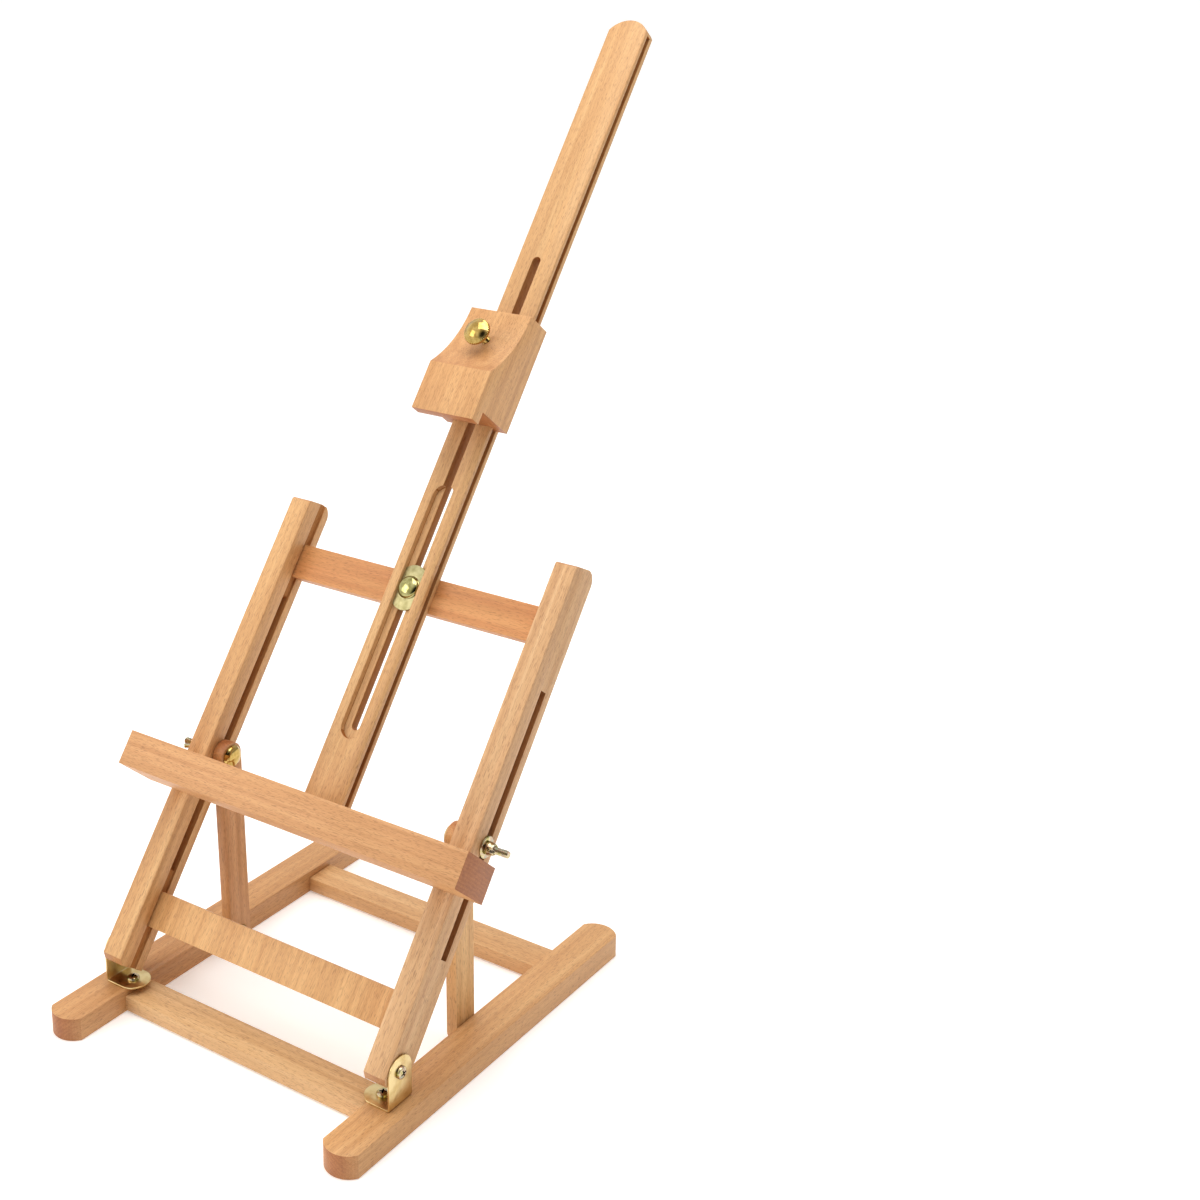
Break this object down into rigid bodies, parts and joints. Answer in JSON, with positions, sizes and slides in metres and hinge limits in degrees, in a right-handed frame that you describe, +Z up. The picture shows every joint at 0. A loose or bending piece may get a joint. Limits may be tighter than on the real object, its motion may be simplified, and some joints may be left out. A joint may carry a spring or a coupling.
{
  "type": "tabletop easel",
  "caption": "Folding tabletop easel in beech: leaning H-frame with a canvas ledge on a flat base, slotted sliding mast, and a coved top holder block locked by a knurled knob.",
  "frame": {"origin": "on the floor, under the middle of the whole easel", "axes": "+Z up; +X to the right of a painter facing the canvas; the canvas faces -Y and the mast leans back towards +Y"},
  "size_m": [0.346, 0.6278, 0.7738],
  "materials": {
    "beech": "sanded natural beech, unvarnished, fine brown flecks",
    "beech_dowel": "fluted beech dowel, glued",
    "brass": "polished brass",
    "bracket_brass": "satin brass-plated steel sheet",
    "yellow_zinc": "yellow-passivated zinc plating on steel",
    "clamp_zinc": "dull khaki zinc plating on steel"
  },
  "bodies": {
    "base": {"left_base_rail": "beech", "right_base_rail": "beech", "front_base_crossbar": "beech", "rear_base_crossbar": "beech", "base_dowels": "beech_dowel", "left_foot_bracket": "bracket_brass", "right_foot_bracket": "bracket_brass", "bracket_base_screws": "yellow_zinc", "strut_pivot_inserts": "brass"},
    "frame": {"left_upright": "beech", "right_upright": "beech", "upper_crossbar": "beech", "lower_crossbar": "beech", "frame_dowels": "beech_dowel", "canvas_ledge": "beech", "ledge_dowels": "beech_dowel", "foot_pivot_screws": "yellow_zinc", "mast_clamp_bolt": "brass", "mast_clamp_plate": "clamp_zinc", "mast_clamp_washer": "yellow_zinc"},
    "mast": {"mast": "beech"},
    "holder": {"top_holder_block": "beech", "holder_insert": "brass", "holder_pressure_plate": "clamp_zinc"},
    "knob": {"knob_screw": "brass"},
    "clamp_nut": {"mast_clamp_wing_nut": "yellow_zinc"},
    "left_slider": {"left_strut_bolt": "brass", "left_washer": "yellow_zinc"},
    "right_slider": {"right_strut_bolt": "brass", "right_washer": "yellow_zinc"},
    "left_strut": {"left_strut": "beech", "left_strut_pivot_screw": "brass"},
    "right_strut": {"right_strut": "beech", "right_strut_pivot_screw": "brass"},
    "left_nut": {"left_wing_nut": "yellow_zinc"},
    "right_nut": {"right_wing_nut": "yellow_zinc"}
  },
  "joints": [
    {"name": "frame_fold", "type": "hinge", "parent": "base", "child": "frame", "pos_m": [0, -0.2398, 0.04835], "axis": [-1, 0, 0], "range_deg": [-17.58, 52.42]},
    {"name": "left_bolt_slide", "type": "slide", "parent": "frame", "child": "left_slider", "axis": [0, 0.6099, 0.7925], "range_m": [-0.0363, 0.1078]},
    {"name": "left_strut_swing", "type": "hinge", "parent": "left_slider", "child": "left_strut", "pos_m": [-0.1215, -0.12799, 0.18527], "axis": [-1, 0, 0], "range_deg": [-9.6, 28.6]},
    {"name": "left_nut_turn", "type": "hinge", "parent": "left_slider", "child": "left_nut", "pos_m": [-0.155, -0.12799, 0.18527], "axis": [-1, 0, 0], "continuous": true},
    {"name": "right_bolt_slide", "type": "slide", "parent": "frame", "child": "right_slider", "axis": [0, 0.6099, 0.7925], "range_m": [-0.0363, 0.1078]},
    {"name": "right_strut_swing", "type": "hinge", "parent": "right_slider", "child": "right_strut", "pos_m": [0.1215, -0.12799, 0.18527], "axis": [-1, 0, 0], "range_deg": [-9.6, 28.6]},
    {"name": "right_nut_turn", "type": "hinge", "parent": "right_slider", "child": "right_nut", "pos_m": [0.155, -0.12799, 0.18527], "axis": [1, 0, 0], "continuous": true},
    {"name": "mast_slide", "type": "slide", "parent": "frame", "child": "mast", "axis": [0, 0.6099, 0.7925], "range_m": [-0.065, 0.1]},
    {"name": "holder_slide", "type": "slide", "parent": "mast", "child": "holder", "axis": [0, 0.6099, 0.7925], "range_m": [-0.06, 0.275]},
    {"name": "knob_turn", "type": "hinge", "parent": "holder", "child": "knob", "pos_m": [0, 0.06168, 0.53685], "axis": [0, 0.7925, -0.6099], "continuous": true},
    {"name": "clamp_nut_turn", "type": "hinge", "parent": "frame", "child": "clamp_nut", "pos_m": [0, -0.01148, 0.31996], "axis": [0, 0.7925, -0.6099], "continuous": true}
  ],
  "couplings": [
    {"joint": "left_bolt_slide", "follows": "frame_fold", "m_per_rad": 0.11767},
    {"joint": "left_strut_swing", "follows": "frame_fold", "ratio": 0.54473},
    {"joint": "right_bolt_slide", "follows": "frame_fold", "m_per_rad": 0.11767},
    {"joint": "right_strut_swing", "follows": "frame_fold", "ratio": 0.54473}
  ]
}
